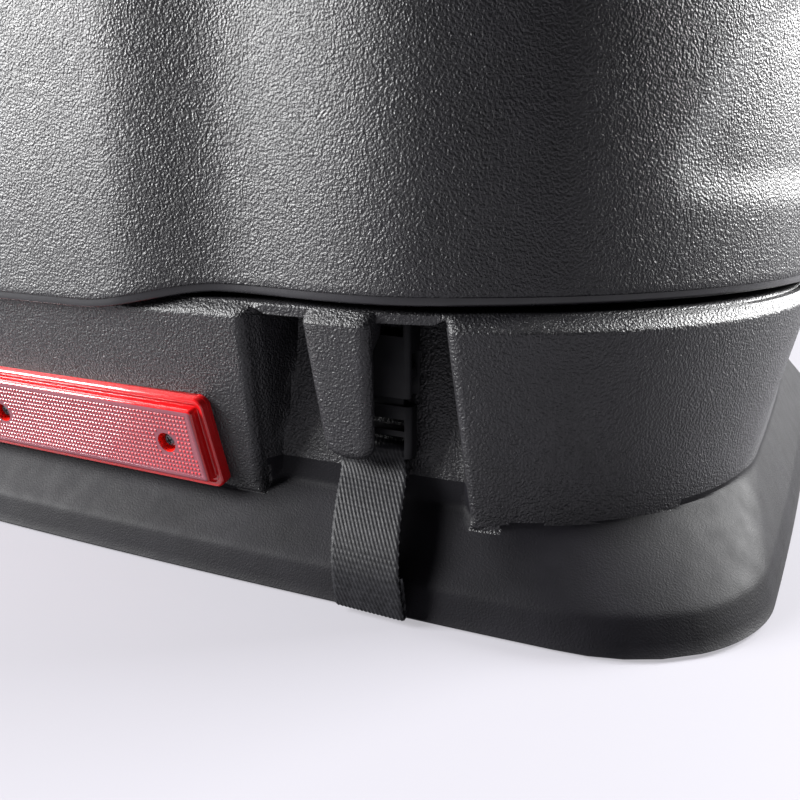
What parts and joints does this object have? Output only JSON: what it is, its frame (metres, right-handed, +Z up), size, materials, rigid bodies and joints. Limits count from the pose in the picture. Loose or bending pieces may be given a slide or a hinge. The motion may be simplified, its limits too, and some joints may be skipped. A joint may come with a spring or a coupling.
{
  "type": "hinged top case",
  "caption": "Black grained top case: deep hinged lid on a stepped tub, red reflector, strap channels with lugs, webbing and side-release buckles.",
  "frame": {"origin": "centre of the rack bolt pattern on the bottom face", "axes": "+Z up, -Y towards the rear of the vehicle, +X to the right seen from behind"},
  "size_m": [0.588, 0.4388, 0.32],
  "materials": {
    "grained_shell": "coarse pebble-grained black moulding",
    "seal_rubber": "soft matt black",
    "mat_rubber": "ribbed matt black",
    "red_lens": "clear red with a fine prism grid",
    "red_backing": "smooth red",
    "buckle_plastic": "satin black acetal",
    "webbing": "woven black polyester webbing",
    "black_steel": "black powder coat",
    "screw_steel": "dull grey pan head",
    "rivet_metal": "satin",
    "zinc_steel": "zinc plated"
  },
  "bodies": {
    "tub": {"buckle_male_left": "buckle_plastic", "buckle_male_right": "buckle_plastic", "drain_plugs": "seal_rubber", "floor_mat": "mat_rubber", "hinge_pin_left": "black_steel", "hinge_pin_right": "black_steel", "hinge_tub_leaf_left": "black_steel", "hinge_tub_leaf_right": "black_steel", "hinge_tub_rivets": "rivet_metal", "rack_plate_left": "zinc_steel", "rack_plate_right": "zinc_steel", "rack_plate_rivets": "rivet_metal", "reflector_backing": "red_backing", "reflector_lens": "red_lens", "reflector_screws": "screw_steel", "rim_seal": "seal_rubber", "tub_shell": "grained_shell", "tub_strap_left": "webbing", "tub_strap_right": "webbing", "tub_strap_rivets": "rivet_metal"},
    "lid": {"buckle_female_left": "buckle_plastic", "buckle_female_right": "buckle_plastic", "hinge_lid_leaf_left": "black_steel", "hinge_lid_leaf_right": "black_steel", "hinge_lid_rivets": "rivet_metal", "lid_shell": "grained_shell", "lid_strap_left": "webbing", "lid_strap_right": "webbing", "lid_strap_rivets": "rivet_metal"},
    "buckle_arm_left_a": {"buckle_arm_left_a": "buckle_plastic"},
    "buckle_arm_left_b": {"buckle_arm_left_b": "buckle_plastic"},
    "buckle_arm_right_a": {"buckle_arm_right_a": "buckle_plastic"},
    "buckle_arm_right_b": {"buckle_arm_right_b": "buckle_plastic"}
  },
  "joints": [
    {"name": "lid_hinge", "type": "hinge", "parent": "tub", "child": "lid", "pos_m": [0, 0.2192, 0.101], "axis": [-1, 0, 0], "range_deg": [0, 95]},
    {"name": "squeeze_left_a", "type": "hinge", "parent": "tub", "child": "buckle_arm_left_a", "pos_m": [-0.1705, -0.18835, 0.072], "axis": [0, 1, 0], "range_deg": [0, 12], "stiffness_Nm_per_rad": 0.02},
    {"name": "squeeze_left_b", "type": "hinge", "parent": "tub", "child": "buckle_arm_left_b", "pos_m": [-0.1515, -0.18835, 0.072], "axis": [0, -1, 0], "range_deg": [0, 12], "stiffness_Nm_per_rad": 0.02},
    {"name": "squeeze_right_a", "type": "hinge", "parent": "tub", "child": "buckle_arm_right_a", "pos_m": [0.1515, -0.18835, 0.072], "axis": [0, 1, 0], "range_deg": [0, 12], "stiffness_Nm_per_rad": 0.02},
    {"name": "squeeze_right_b", "type": "hinge", "parent": "tub", "child": "buckle_arm_right_b", "pos_m": [0.1705, -0.18835, 0.072], "axis": [0, -1, 0], "range_deg": [0, 12], "stiffness_Nm_per_rad": 0.02}
  ],
  "couplings": [
    {"joint": "squeeze_left_b", "follows": "squeeze_left_a", "ratio": 1},
    {"joint": "squeeze_right_b", "follows": "squeeze_right_a", "ratio": 1}
  ]
}
